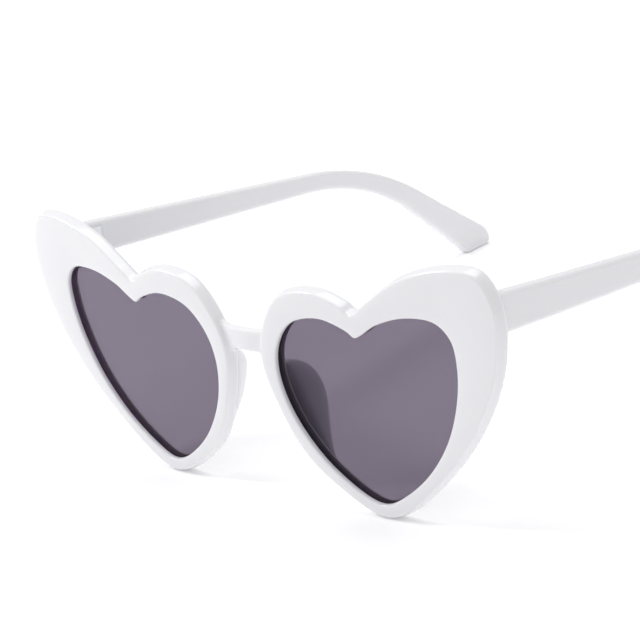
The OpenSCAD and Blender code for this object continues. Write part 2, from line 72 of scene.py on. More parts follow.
# The same points on the opening
OPENING_SHARES = (
    (-0.017, -0.497), (0.081, -0.445), (0.243, -0.306), (0.379, -0.118), (0.462, 0.083), (0.498, 0.268),
    (0.489, 0.407), (0.424, 0.484), (0.275, 0.495), (0.108, 0.441), (0.020, 0.382), (-0.012, 0.367),
    (-0.050, 0.394), (-0.198, 0.441), (-0.372, 0.396), (-0.471, 0.270), (-0.500, 0.119), (-0.460, -0.078),
    (-0.342, -0.285), (-0.192, -0.429), (-0.080, -0.493))
# Height from the top, reach and thickness of a nose pad, as shares of the pad's own
PAD_SHARES = (
    (0, 0.3, 0.5), (0.05, 0.62, 0.72), (0.12, 0.85, 0.9), (0.22, 0.98, 1), (0.35, 1, 1), (0.48, 0.88, 1),
    (0.6, 0.7, 1), (0.72, 0.5, 0.9), (0.84, 0.28, 0.8), (0.93, 0.12, 0.6), (1, 0.03, 0.4))


def length(name, default, description):
    return FloatProperty(name=name, default=default, description=description, unit="LENGTH", precision=5)


def angle(name, default, description):
    return FloatProperty(name=name, default=math.radians(default), description=description, subtype="ANGLE")


def colour(name, default, description):
    return FloatVectorProperty(
        name=name, default=default, description=description, subtype="COLOR", size=3, min=0, max=1)


class HeartFrontSizes(bpy.types.PropertyGroup):
    heart_width: length("Heart width", 0.0669, "Width of each heart over its rim")
    heart_height: length("Heart height", 0.0584, "Height of each heart over its rim")
    heart_pitch: length("Heart pitch", 0.0771, "Distance between the middles of the two hearts")
    opening_width: length("Opening width", 0.0504, "Width of each lens opening")
    opening_height: length("Opening height", 0.0437, "Height of each lens opening")
    opening_pitch: length("Opening pitch", 0.0697, "Distance between the middles of the two openings")
    opening_drop: length("Opening drop", 0.00398, "How far the opening lies below the heart's middle")
    thickness: length("Thickness", 0.0033, "Thickness of the front")
    face_round: length("Face rounding", 0.0005, "Rounding of the outer edge at the face")
    back_round: length("Back rounding", 0.0014, "Rounding of the outer edge at the back")
    draft: length("Draft", 0.0004, "How far the outer side leans outwards from the face to the back")
    lip_round: length("Lip rounding", 0.0005, "Rounding of the edges of each lens opening")
    base_radius: length("Face radius", 0.569, "Radius of the sphere that the face follows")
    bridge_height: length("Bridge height", 0.0054, "Height of the bridge in its middle")
    bridge_thickness: length("Bridge thickness", 0.0023, "Thickness of the bridge")
    bridge_setback: length("Bridge set-back", 0.0007, "Set-back of the bridge behind the face")
    bridge_rise: length("Bridge rise", 0.0074, "Height of the bridge above the middle of the hearts")
    bridge_flare: length("Bridge flare", 0.003, "Growth of the bridge's height at the rims")
    bridge_bow: length("Bridge bow", 0.0009, "How far the bridge's face falls back towards the rims")


class HeartLensSizes(bpy.types.PropertyGroup):
    thickness: length("Thickness", 0.0015, "Thickness of a lens")
    recess: length("Recess", 0.0011, "Distance of the lens behind the face")
    groove: length("Groove", 0.0008, "Depth of the lens groove in the rim")
    clearance: length("Clearance", 0.0001, "Clearance between the lens and its groove")


class HeartPadSizes(bpy.types.PropertyGroup):
    height: length("Height", 0.0225, "Height of a nose pad")
    top_gap: length("Top gap", 0.002, "Gap between the bridge and a pad")
    reach: length("Reach", 0.0068, "Reach of a pad behind the rim")
    thickness: length("Thickness", 0.004, "Thickness of a pad")
    lean: FloatProperty(name="Lean", default=0.35, description="Outward lean as a part of the reach")
    glue: length("Glue", 0.00005, "Gap left for the glue")


class HeartTempleSizes(bpy.types.PropertyGroup):
    inset: length("Inset", 0.0033, "Distance from the widest point of a heart in to its temple")
    rise: length("Rise", 0.0191, "Height of the temples above the middle of the hearts")
    thickness: length("Thickness", 0.0035, "Thickness of a temple")
    root_height: length("Root height", 0.0087, "Height at the hinge")
    waist_height: length("Waist height", 0.0047, "Height before the ear bend")
    tip_height: length("Tip height", 0.0098, "Height just above the tip")
    straight: length("Straight", 0.0795, "Length of the straight stretch")
    slope: angle("Slope", 8.6, "Slope of the straight stretch")
    drop_slope: angle("Drop slope", 43.0, "Slope below the ear bend")
    bend_radius: length("Bend radius", 0.065, "Radius of the ear bend")
    tip_reach: length("Tip reach", 0.0025, "How far the tip's end lies behind the middle line's end")
    tip_shoulder: length("Tip shoulder", 0.0047, "Radius of the turn from the upper side to the tip's end")
    tip_toe: length("Tip toe", 0.003, "Radius of the turn from the lower side to the table")
    toe_in: angle("Toe in", 1.3, "Inward run of each temple")
    rounding: length("Rounding", 0.0011, "Rounding of the long edges")
    gap: length("Gap", 0.00015, "Gap between a temple and its end piece")


class HeartHingeSizes(bpy.types.PropertyGroup):
    knuckle: length("Knuckle", 0.0025, "Diameter of a knuckle")
    knuckle_height: length("Knuckle height", 0.0017, "Height of one knuckle")
    knuckle_gap: length("Knuckle gap", 0.00008, "Gap between neighbouring knuckles")
    knuckle_clear: length("Knuckle clearance", 0.00022, "Clearance round the knuckles")
    leaf: length("Leaf", 0.0008, "Thickness of a leaf")
    front_leaf: length("Front leaf", 0.0044, "Length of the leaf on the front")
    temple_leaf: length("Temple leaf", 0.0124, "Length of the leaf on a temple")
    temple_leaf_start: length("Leaf start", 0.0005, "Distance from the temple's end to its leaf")
    end_wall: length("End wall", 0.0012, "Plastic beside the leaf in the end piece")
    leaf_clear: length("Leaf clearance", 0.00005, "Clearance round a leaf")


class HeartFinishes(bpy.types.PropertyGroup):
    white: colour("White plastic", (0.765, 0.763, 0.788), "Colour of the front and the temples")
    pearl: colour("Pearl plastic", (0.77, 0.775, 0.80), "Colour of the nose pads")
    lens: colour("Lens tint", (0.548, 0.507, 0.578), "Light that one surface of a lens lets through")
    lens_edge: colour("Lens edge", (0.66, 0.52, 0.68), "Light that the narrow side of a lens lets through")
    steel: colour("Steel", (0.66, 0.67, 0.69), "Colour of the hinges and screws")
    floor: colour("Floor", (0.90, 0.90, 0.91), "Colour of the floor")


class HeartStageSizes(bpy.types.PropertyGroup):
    azimuth: angle("Azimuth", 48.541, "Turn of the camera round the glasses")
    elevation: angle("Elevation", 19.200, "Height of the camera above the level")
    roll: angle("Roll", -11.201, "Roll of the camera")
    distance: length("Distance", 0.679098, "Distance of the camera from its aim")
    aim_x: length("Aim X", -0.0553555, "Aim of the camera across the glasses")
    aim_y: length("Aim Y", -0.000218, "Aim of the camera along the glasses")
    aim_z: length("Aim Z", 0.0068296, "Aim of the camera above the floor")
    lens: FloatProperty(name="Lens", default=154.69, description="Focal length of the camera in mm")
    key_power: FloatProperty(name="Key light", default=2.7, description="Power of the main soft light in W")


# Shaping

def fields(group):
    """The properties of a group that are its own."""
    return {name: prop for name, prop in group.bl_rna.properties.items() if name not in ("rna_type", "name")}


def sizes(group):
    """The lengths of a group in millimetres, its angles in radians and the rest as they are."""
    found = {}
    for name, prop in fields(group).items():
        found[name] = getattr(group, name) * (MM if prop.unit == "LENGTH" else 1)
    return SimpleNamespace(**found)


def mix(a, b, t):
    return a + (b - a) * t


def curve_point(a, b, c, d, t):
    """Smooth curve from b to c, with a before b and d after c."""
    t1 = math.sqrt((b - a).length)
    t2 = t1 + math.sqrt((c - b).length)
    t3 = t2 + math.sqrt((d - c).length)
    u = mix(t1, t2, t)
    ab, bc, cd = a.lerp(b, u / t1), b.lerp(c, (u - t1) / (t2 - t1)), c.lerp(d, (u - t2) / (t3 - t2))
    abc, bcd = ab.lerp(bc, u / t2), bc.lerp(cd, (u - t1) / (t3 - t1))
    return abc.lerp(bcd, (u - t1) / (t2 - t1))


def outline(shares, x, z, width, height, steps):
    """Smooth closed line through points given as shares of a width and a height."""
    points = [Vector((x + sx * width, z + sz * height)) for sx, sz in shares]
    n = len(points)
    return [curve_point(points[i - 1], points[i], points[(i + 1) % n], points[(i + 2) % n], j / steps)
            for i in range(n) for j in range(steps)]


def outward(line):
    """The directions that look out of a closed line that runs counter-clockwise, one for each point."""
    n = len(line)
    turns = [(line[(i + 1) % n] - line[i - 1]).normalized() for i in range(n)]
    return [Vector((t.y, -t.x)) for t in turns]


class Layout:
    """Where the pieces of the left half lie, in millimetres, with the face's foremost point at y = 0."""

    steps = 8  # stretches of an outline between two of its points
    cad_steps = 4  # the same in the CAD, whose lowest point stands on the table
    growth = 2.5  # exponent of a temple's growth towards its tip

    def __init__(self, scene):
        self.f = f = sizes(scene.heart_front)
        self.l = sizes(scene.heart_lens)
        self.p = sizes(scene.heart_pad)
        self.t = t = sizes(scene.heart_temple)
        self.h = h = sizes(scene.heart_hinge)
        low = outline(RIM_SHARES, 0, 0, f.heart_width, f.heart_height, self.cad_steps)
        self.mid_z = -min(p.y for p in low)
        self.rim = outline(
            RIM_SHARES, f.heart_pitch / 2, self.mid_z, f.heart_width, f.heart_height, self.steps)
        self.opening = outline(
            OPENING_SHARES, f.opening_pitch / 2, self.mid_z - f.opening_drop,
            f.opening_width, f.opening_height, self.steps)
        self.rim_out = outward(self.rim)
        self.opening_out = outward(self.opening)
        self.groove_front = self.l.recess - self.l.clearance
        self.groove_back = self.l.recess + self.l.thickness + self.l.clearance
        face_edge = [p - n * (f.draft + f.face_round) for p, n in zip(self.rim, self.rim_out)]
        foremost = min(self.face_y(p.x, p.y, 0) for p in self.opening + face_edge)
        self.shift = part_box("front_frame")[0].y * MM - foremost
        self.bridge_z = self.mid_z + f.bridge_rise
        self.temple_x = (f.heart_pitch + f.heart_width) / 2 - t.inset
        self.temple_z = self.mid_z + t.rise
        self.temple_in_x = self.temple_x - t.thickness / 2
        self.temple_out_x = self.temple_x + t.thickness / 2
        self.hinge_h = 3 * h.knuckle_height + 2 * h.knuckle_gap
        self.hinge_x = self.temple_in_x - h.knuckle / 2 - h.knuckle_clear
        self.end_h = t.root_height + 2 * t.gap
        self.end_y = self.face_y(self.temple_out_x, self.temple_z + self.end_h / 2, f.thickness) + t.gap
        self.end_in_x = self.hinge_x - h.front_leaf - h.leaf_clear - h.end_wall
        self.temple_y = self.end_y + t.gap
        self.arc = t.bend_radius * (t.drop_slope - t.slope)
        self.bend_y = self.temple_y + t.straight * math.cos(t.slope)
        self.bend_z = self.temple_z - t.straight * math.sin(t.slope)
        self.bend_end_y = self.bend_y + t.bend_radius * (math.sin(t.drop_slope) - math.sin(t.slope))
        self.bend_end_z = self.bend_z - t.bend_radius * (math.cos(t.slope) - math.cos(t.drop_slope))
        self.drop = self.bend_end_z / math.sin(t.drop_slope)
        self.drop_y = self.bend_end_y + self.drop * math.cos(t.drop_slope)

    def face_y(self, x, z, depth):
        """Y of the curved face, or of a layer at a depth behind it."""
        r = self.f.base_radius
        return r - math.sqrt((r - depth) ** 2 - x * x - (z - self.mid_z) ** 2)

    def on_face(self, p, depth):
        return Vector((p.x, self.face_y(p.x, p.y, depth), p.y))

    def nose_x(self, z):
        """X of the rim's nose side at a height."""
        line = self.rim[NOSE_SIDE_START * self.steps:]
        for a, b in zip(line, line[1:]):
            if a.y >= z > b.y:
                return mix(a.x, b.x, (a.y - z) / (a.y - b.y))
        raise RuntimeError("no nose side at height %.2f" % z)

    def slope_at(self, s):
        """Slope of a temple at a distance along its middle line."""
        t = self.t
        return t.slope if s < t.straight else min(t.slope + (s - t.straight) / t.bend_radius, t.drop_slope)

    def path_at(self, s):
        """Place of the middle line in the side view."""
        t = self.t
        if s < t.straight:
            return self.temple_y + s * math.cos(t.slope), self.temple_z - s * math.sin(t.slope)
        if s < t.straight + self.arc:
            a = self.slope_at(s)
            return (self.bend_y + t.bend_radius * (math.sin(a) - math.sin(t.slope)),
                    self.bend_z - t.bend_radius * (math.cos(t.slope) - math.cos(a)))
        d = s - t.straight - self.arc
        return self.bend_end_y + d * math.cos(t.drop_slope), self.bend_end_z - d * math.sin(t.drop_slope)

    def height_at(self, s):
        """Height of a temple across its middle line."""
        t = self.t
        if s < t.straight:
            return mix(t.root_height, t.waist_height, s / t.straight)
        share = (s - t.straight) / (self.arc + self.drop)
        return mix(t.waist_height, t.tip_height, share ** self.growth)


def start_ring(bm, points):
    """A closed ring of new corners and edges."""
    verts = [bm.verts.new(p) for p in points]
    for i in range(len(verts)):
        bm.edges.new((verts[i - 1], verts[i]))
    return verts


def ring_edges(verts):
    """The edges of a closed ring of corners."""
    return [next(e for e in v.link_edges if e.other_vert(v) is verts[i - 1]) for i, v in enumerate(verts)]


def extrude_ring(bm, verts, points):
    """Extrudes a closed ring and puts its new corners on the points given."""
    made = bmesh.ops.extrude_edge_only(bm, edges=ring_edges(verts))["geom"]
    fresh = {g for g in made if isinstance(g, bmesh.types.BMVert)}
    following = []
    for v, p in zip(verts, points):
        new = next(e.other_vert(v) for e in v.link_edges if e.other_vert(v) in fresh)
        new.co = p
        following.append(new)
    return following


def facing(bm, direction):
    """The flat faces that look in a direction."""
    return [face for face in bm.faces if face.normal.dot(direction) > FLAT]


def bevel(bm, edges, offset, segments):
    """Rounds edges with a number of narrow faces."""
    bmesh.ops.bevel(
        bm, geom=edges, offset=offset, offset_type="OFFSET", segments=segments, profile=0.5,
        affect="EDGES", clamp_overlap=False, material=-1, loop_slide=True)


def sink(bm, faces, place):
    """Pushes faces in as the bottom of a pocket, whose corners are put where place says."""
    made = bmesh.ops.extrude_face_region(bm, geom=faces)["geom"]
    left = [face for face in faces if face.is_valid]
    if left:
        bmesh.ops.delete(bm, geom=left, context="FACES")
    for v in (g for g in made if isinstance(g, bmesh.types.BMVert)):
        v.co = place(v)


def window(bm, faces, origin, normal, low, high):
    """Cuts faces at two distances from a point and keeps what lies between them."""
    for distance in (low, high):
        geom = list(dict.fromkeys(g for face in faces for g in (face, *face.edges, *face.verts)))
        cut = bmesh.ops.bisect_plane(
            bm, geom=geom, dist=TOUCH, plane_co=origin + normal * distance, plane_no=normal)["geom"]
        faces = [g for g in cut if isinstance(g, bmesh.types.BMFace)]
    kept = [face for face in faces if low < (face.calc_center_median() - origin).dot(normal) < high]
    if not kept:
        raise RuntimeError("nothing left between the cuts")
    return kept


def finish_mesh(bm, name, shift_y, sharp=40):
    """Brings a mesh from millimetres at the face to metres in the CAD's frame and makes its object.

    Edges that turn by more than the sharp angle, in degrees, stay crisp.
    """
    bmesh.ops.remove_doubles(bm, verts=bm.verts, dist=TOUCH)
    bmesh.ops.recalc_face_normals(bm, faces=bm.faces)
    for face in bm.faces:
        face.smooth = True
    for edge in bm.edges:
        edge.smooth = len(edge.link_faces) == 2 and edge.calc_face_angle(0) < math.radians(sharp)
    bmesh.ops.translate(bm, verts=bm.verts, vec=(0, shift_y, 0))
    bmesh.ops.scale(bm, verts=bm.verts, vec=(1 / MM,) * 3)
    mesh = bpy.data.meshes.new(name)
    bm.to_mesh(mesh)
    bm.free()
    piece = bpy.data.objects.new(name, mesh)
    bpy.context.scene.collection.objects.link(piece)
    return piece


def mirrored(bm):
    """Turns the whole mesh over to the other side."""
    bmesh.ops.scale(bm, verts=bm.verts, vec=(-1, 1, 1))
    bmesh.ops.reverse_faces(bm, faces=bm.faces)


# Finishes

class Value:
    """A number that changes over a surface, with the operators that the finishes use."""

    def __init__(self, finish, socket):
        self.finish, self.socket = finish, socket

    def _math(self, operation, a, b=0.0):
        return self.finish.node("ShaderNodeMath", {"operation": operation}, {0: a, 1: b})

    def __add__(self, other):
        return self._math("ADD", self, other)

    __radd__ = __add__

    def __sub__(self, other):
        return self._math("SUBTRACT", self, other)

    def __rsub__(self, other):
        return self._math("SUBTRACT", other, self)

    def __mul__(self, other):
        return self._math("MULTIPLY", self, other)

    __rmul__ = __mul__

    def __abs__(self):
        return self._math("ABSOLUTE", self)


class Finish:
    """One material, built from nodes."""

    colour_a, colour_b, colour_out = 6, 7, 2  # the colour sockets of a Mix node

    def __init__(self, name):
        self.material = bpy.data.materials.new(name)
        self.material.use_nodes = True
        self.tree = self.material.node_tree
        self.tree.nodes.clear()

    def node(self, kind, settings, sockets, out=0):
        """Adds a node, sets it, fills or links its sockets and gives one of its outputs."""
        made = self.tree.nodes.new(kind)
        for name, value in settings.items():
            setattr(made, name, value)
        for name, value in sockets.items():
            if isinstance(value, Value):
                self.tree.links.new(value.socket, made.inputs[name])
            else:
                made.inputs[name].default_value = value
        return Value(self, made.outputs[out]) if made.outputs else None

    def place(self):
        """Where a point lies in its object."""
        return self.node("ShaderNodeTexCoord", {}, {}, "Object")

    def noise(self, scale, detail, roughness=0.5, where=None):
        """A cloudy pattern between 0 and 1."""
        return self.node("ShaderNodeTexNoise", {}, {
            "Vector": where or self.place(), "Scale": scale, "Detail": detail, "Roughness": roughness},
            "Fac")

    def blended(self, factor, a, b):
        """A colour between two others."""
        return self.node("ShaderNodeMix", {"data_type": "RGBA"}, {
            "Factor": factor, self.colour_a: a, self.colour_b: b}, self.colour_out)

    def bump(self, height, strength, distance):
        """Normals of a surface that rises and falls with a pattern."""
        return self.node("ShaderNodeBump", {}, {
            "Height": height, "Strength": strength, "Distance": distance}, "Normal")

    def surface(self, shader):
        """Ends the material with its shader."""
        self.node("ShaderNodeOutputMaterial", {}, {"Surface": shader})
        return self.material


def shade(colour, factor=1.0):
    """A lighter or darker colour, with the alpha that a colour socket takes."""
    return (*(min(1.0, c * factor) for c in colour), 1)


def white_plastic(colours):
    """Glossy injection-moulded plastic, with the faint waviness of a moulded skin."""
    f = Finish("white_plastic_gloss")
    broad = f.noise(scale=60, detail=2)
    fine = f.noise(scale=900, detail=3, roughness=0.6)
    shader = f.node("ShaderNodeBsdfPrincipled", {}, {
        "Base Color": f.blended(broad, shade(colours.white, 0.985), shade(colours.white, 1.015)),
        "Roughness": 0.2 + broad * 0.05 + fine * 0.03,
        "IOR": 1.49,
        "Subsurface Weight": 0.4,
        "Subsurface Radius": (0.0011, 0.001, 0.0008),
        "Subsurface Scale": 1.0,
        "Coat Weight": 0.4,
        "Coat Roughness": 0.08,
        "Normal": f.bump(broad * 0.9 + fine * 0.1, strength=0.05, distance=0.0001)})
    return f.surface(shader)


def pearl_plastic(colours):
    """Softly glowing plastic of the nose pads."""
    f = Finish("pearl_plastic_soft")
    broad = f.noise(scale=180, detail=2)
    fine = f.noise(scale=1500, detail=2)
    shader = f.node("ShaderNodeBsdfPrincipled", {}, {
        "Base Color": f.blended(broad, shade(colours.pearl, 0.97), shade(colours.pearl, 1.02)),
        "Roughness": 0.3 + broad * 0.1,
        "IOR": 1.46,
        "Subsurface Weight": 0.25,
        "Subsurface Radius": (0.002, 0.002, 0.0019),
        "Subsurface Scale": 1.0,
        "Coat Weight": 0.4,
        "Coat Roughness": 0.12,
        "Normal": f.bump(broad * 0.5 + fine * 0.5, strength=0.1, distance=0.0002)})
    return f.surface(shader)


def lens_plastic(colours):
    """Clear grey-mauve plastic, which dims what is behind it and shines at its surface."""
    f = Finish("tinted_lens_plastic")
    haze = f.noise(scale=60, detail=2)
    dark, pale = (0.035, 0.03, 0.04, 1), (0.045, 0.04, 0.05, 1)
    clear = f.node("ShaderNodeBsdfTransparent", {}, {"Color": shade(colours.lens)})
    gloss = f.node("ShaderNodeBsdfPrincipled", {}, {
        "Base Color": f.blended(haze, dark, pale),
        "Roughness": 0.04 + haze * 0.03,
        "IOR": 1.5,
        "Normal": f.bump(haze, strength=0.02, distance=0.0001)})
    slant = f.node("ShaderNodeLayerWeight", {}, {"Blend": 0.5}, "Fresnel")
    return f.surface(f.node("ShaderNodeMixShader", {}, {"Fac": 0.1 + slant * 0.25, 1: clear, 2: gloss}))


def lens_edge(colours):
    """The lens's narrow side in its groove: its own see-through tint, mixed with a near-black body painted
    on as the shade of the groove behind it, darkest near the nose.
    """
    f = Finish("lens_edge_painted_shade")
    haze = f.noise(scale=250, detail=2)
    # dark and pale are the near-black body, which is painted shade
    dark, pale = (0.03, 0.025, 0.035, 1), (0.05, 0.04, 0.055, 1)
    nose_shade_share, fall = 0.85, 13  # share of the painted shade in the middle plane, and its fall per metre
    across = f.node("ShaderNodeSeparateXYZ", {}, {"Vector": f.place()}, "X")
    clear = f.node("ShaderNodeBsdfTransparent", {}, {"Color": shade(colours.lens_edge)})
    body = f.node("ShaderNodeBsdfPrincipled", {}, {
        "Base Color": f.blended(haze, dark, pale), "Roughness": 0.3 + haze * 0.1})
    share = nose_shade_share - abs(across) * fall + haze * 0.04
    return f.surface(f.node("ShaderNodeMixShader", {}, {"Fac": share, 1: clear, 2: body}))


def hinge_steel(colours):
    """Stamped and tumbled steel, with fine marks that run level."""
    f = Finish("hinge_steel_brushed")
    lined = f.node("ShaderNodeMapping", {}, {"Vector": f.place(), "Scale": (1, 1, 12)})
    marks = f.noise(scale=1400, detail=3, roughness=0.6, where=lined)
    cloud = f.noise(scale=300, detail=2)
    shader = f.node("ShaderNodeBsdfPrincipled", {}, {
        "Base Color": f.blended(cloud, shade(colours.steel, 0.85), shade(colours.steel, 1.08)),
        "Metallic": 1.0,
        "Roughness": 0.2 + marks * 0.16 + cloud * 0.08,
        "Normal": f.bump(marks, strength=0.2, distance=0.00005)})
    return f.surface(shader)


def floor_paper(colours):
    """Matt white paper, which glows a little as a lit studio table does."""
    f = Finish("floor_paper")
    broad = f.noise(scale=8, detail=2)
    shader = f.node("ShaderNodeBsdfPrincipled", {}, {
        "Base Color": f.blended(broad, shade(colours.floor, 0.995), shade(colours.floor, 1.005)),
        "Roughness": 0.6,
        "Specular IOR Level": 0.2,
        "Emission Color": shade(colours.floor),
        "Emission Strength": 0.16})
    return f.surface(shader)


MADE = {}  # name of the material that each maker function has built


def finish_named(make, scene):
    """The material that a maker function builds, built once."""
    kept = bpy.data.materials.get(MADE.get(make.__name__, ""))
    if kept is None:
        kept = make(scene.heart_finishes)
        MADE[make.__name__] = kept.name
    return kept


def dress(piece, make, slot, body, *nodes):
    """Gives a piece its finish and its body, and hides the CAD nodes that it takes the place of. The slot is
    not used.
    """
    piece.data.materials.append(finish_named(make, bpy.context.scene))
    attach(piece, body)
    if nodes:
        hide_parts(*nodes)


def redress(node, make):
    """Gives a CAD node that stays in sight its finish."""
    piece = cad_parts[node]
    material = finish_named(make, bpy.context.scene)
    if not piece.material_slots:
        piece.data.materials.append(material)
    for slot in piece.material_slots:
        slot.material = material


# Pieces

FACE_SEGMENTS, BACK_SEGMENTS, LIP_SEGMENTS = 6, 5, 3  # faces across the front's rounded edges
BACK_LEAN = 0.8  # share of the back rounding over which the outer side goes on leaning

BRIDGE_RINGS = 14
RING_SPACING = 1.5  # exponent that sets the rings closer together at the rim
FILLET = 4.5  # exponent of the soft corner between the bridge and the rim, tighter when higher
BRIDGE_CORNER = 3.2  # exponent of the bridge's cross-section, squarer when higher
ROOT_REACH = 4.0  # how far out from the rim's nose side the bridge's root is looked for
ROOT_FRONT, ROOT_BACK = 0.5, 0.05  # strips of the rim left whole in front of the root and behind it
ROOT_SLANT = -0.15  # the root's faces look further to the nose than this

END_ROUND, END_SEGMENTS = 1.0, 4  # rounding of an end piece's long edges


def half_front(bm, at):
    """The left rim: one cross-section pushed from outline to outline, then its edges rounded."""
    f, inner = at.f, at.opening
    lean = f.draft / (f.thickness - f.face_round - f.back_round)
    outer_face = [p - n * (f.draft + lean * f.face_round) for p, n in zip(at.rim, at.rim_out)]
    outer_back = [p + n * lean * f.back_round * BACK_LEAN for p, n in zip(at.rim, at.rim_out)]
    deep = [p + n * at.l.groove for p, n in zip(inner, at.opening_out)]
    first = ring = start_ring(bm, [at.on_face(p, 0) for p in inner])
    for line, depth in ((inner, at.groove_front), (deep, at.groove_front), (deep, at.groove_back),
                        (inner, at.groove_back), (inner, f.thickness)):
        ring = extrude_ring(bm, ring, [at.on_face(p, depth) for p in line])
    back_ring = extrude_ring(bm, ring, [at.on_face(p, f.thickness) for p in outer_back])
    face_ring = extrude_ring(bm, back_ring, [at.on_face(p, 0) for p in outer_face])
    bmesh.ops.bridge_loops(bm, edges=ring_edges(face_ring) + ring_edges(first))
    bmesh.ops.recalc_face_normals(bm, faces=bm.faces)
    face_edges, back_edges = ring_edges(face_ring), ring_edges(back_ring)
    lips = ring_edges(first) + ring_edges(ring)
    bevel(bm, face_edges, f.face_round, FACE_SEGMENTS)
    bevel(bm, back_edges, f.back_round, BACK_SEGMENTS)
    bevel(bm, lips, f.lip_round, LIP_SEGMENTS)


def bridge_root(bm, at):
    """The faces on the rim's nose side that the bridge grows out of."""
    f = at.f
    half_height = (f.bridge_height + f.bridge_flare) / 2
    reach = at.nose_x(at.bridge_z) + ROOT_REACH
    found = []
    for face in bm.faces:
        c = face.calc_center_median()
        depth = f.base_radius - math.sqrt(c.x ** 2 + (c.z - at.mid_z) ** 2 + (f.base_radius - c.y) ** 2)
        near = abs(c.z - at.bridge_z) < half_height and c.x < reach
        if near and ROOT_FRONT < depth < f.thickness - ROOT_BACK and face.normal.x < ROOT_SLANT:
            found.append(face)
    return found


def hole_ring(bm):
    """The corners round the mesh's one hole, in order."""
    edge = next(e for e in bm.edges if e.is_boundary)
    ring = [edge.verts[0]]
    while edge.other_vert(ring[-1]) is not ring[0]:
        ring.append(edge.other_vert(ring[-1]))
        edge = next(e for e in ring[-1].link_edges if e.is_boundary and e is not edge)
    return ring


def bridge_middle(at, hole):
    """Bow, Y and Z of the bridge's cross-section in the middle plane, one for each corner of the hole."""
    f = at.f
    ys, zs = [p.y for p in hole], [p.z for p in hole]
    middle_y = f.bridge_setback + f.bridge_thickness / 2
    found = []
    for p in hole:
        u = (2 * p.y - max(ys) - min(ys)) / (max(ys) - min(ys))
        w = (2 * p.z - max(zs) - min(zs)) / (max(zs) - min(zs))
        size = (abs(u) ** BRIDGE_CORNER + abs(w) ** BRIDGE_CORNER) ** (1 / BRIDGE_CORNER)
        found.append((f.bridge_bow * (1 - u / size) / 2, middle_y + u / size * f.bridge_thickness / 2,
                      at.bridge_z + w / size * f.bridge_height / 2))
    return found


def bridge_half(bm, at):
    """Opens the rim's nose side and draws the hole out to the middle plane as half a bridge."""
    bmesh.ops.delete(bm, geom=bridge_root(bm, at), context="FACES")
    ring = hole_ring(bm)
    hole = [v.co.copy() for v in ring]
    middle = bridge_middle(at, hole)
    for k in range(1, BRIDGE_RINGS + 1):
        t = 1 - (k / BRIDGE_RINGS) ** RING_SPACING
        ease = 1 - math.sqrt(1 - t ** FILLET)
        ring = extrude_ring(bm, ring, [
            Vector((p.x * t, mix(y + bow * t * t, p.y, ease), mix(z, p.z, ease)))
            for p, (bow, y, z) in zip(hole, middle)])


def end_block(bm, at):
    """The end piece behind a wing, with the pocket for the hinge leaf cut into its rear."""
    h = at.h
    start_y = at.face_y(at.end_in_x, at.temple_z, (at.groove_back + at.f.thickness) / 2)
    made = bmesh.ops.create_cube(bm, size=1)["verts"]
    bmesh.ops.scale(bm, verts=made, vec=(at.temple_out_x - at.end_in_x, at.end_y - start_y, at.end_h))
    bmesh.ops.translate(bm, verts=made, vec=(
        (at.temple_out_x + at.end_in_x) / 2, (at.end_y + start_y) / 2, at.temple_z))
    along = [e for e in bm.edges if abs((e.verts[0].co - e.verts[1].co).normalized().y) > FLAT]
    bevel(bm, along, END_ROUND, END_SEGMENTS)
    bm.normal_update()
    origin = Vector((at.hinge_x, at.end_y, at.temple_z))
    half = at.hinge_h / 2 + h.leaf_clear
    seat = facing(bm, Vector((0, 1, 0)))
    seat = window(bm, seat, origin, Vector((1, 0, 0)), -h.front_leaf - h.leaf_clear, h.leaf_clear)
    seat = window(bm, seat, origin, Vector((0, 0, 1)), -half, half)
    sink(bm, seat, lambda v: v.co - Vector((0, h.leaf + h.leaf_clear, 0)))


class GLASSES_OT_front(bpy.types.Operator):
    """Builds the moulded front: two rims, the bridge and two end pieces"""

    bl_idname = "glasses.front"
    bl_label = "Front"

    def execute(self, context):
        at = Layout(context.scene)
        bm = bmesh.new()
        half_front(bm, at)
        bm.normal_update()
        bridge_half(bm, at)
        bmesh.ops.mirror(bm, geom=bm.verts[:] + bm.edges[:] + bm.faces[:], axis="X", merge_dist=0.001)
        for side in (1, -1):
            block = bmesh.new()
            end_block(block, at)
            if side < 0:
                mirrored(block)
            kept = bpy.data.meshes.new("end_block")
            block.to_mesh(kept)
            block.free()
            bm.from_mesh(kept)
            bpy.data.meshes.remove(kept)
        piece = finish_mesh(bm, "moulded_front", at.shift)
        dress(piece, white_plastic, "white_plastic", "front", "front_frame")
        return {"FINISHED"}


LENS_RINGS = 9
EDGE_ON = 0.5  # a lens's narrow side looks less to the front or back than this


def lens_face(bm, at, ring, edge, depth):
    """Fills one of a lens's two big sides ring by ring, so that it follows the curve of the front."""
    middle = sum(edge, Vector((0, 0))) / len(edge)
    for k in range(1, LENS_RINGS):
        ring = extrude_ring(bm, ring, [at.on_face(p.lerp(middle, k / LENS_RINGS), depth) for p in edge])
    bmesh.ops.contextual_create(bm, geom=ring_edges(ring))


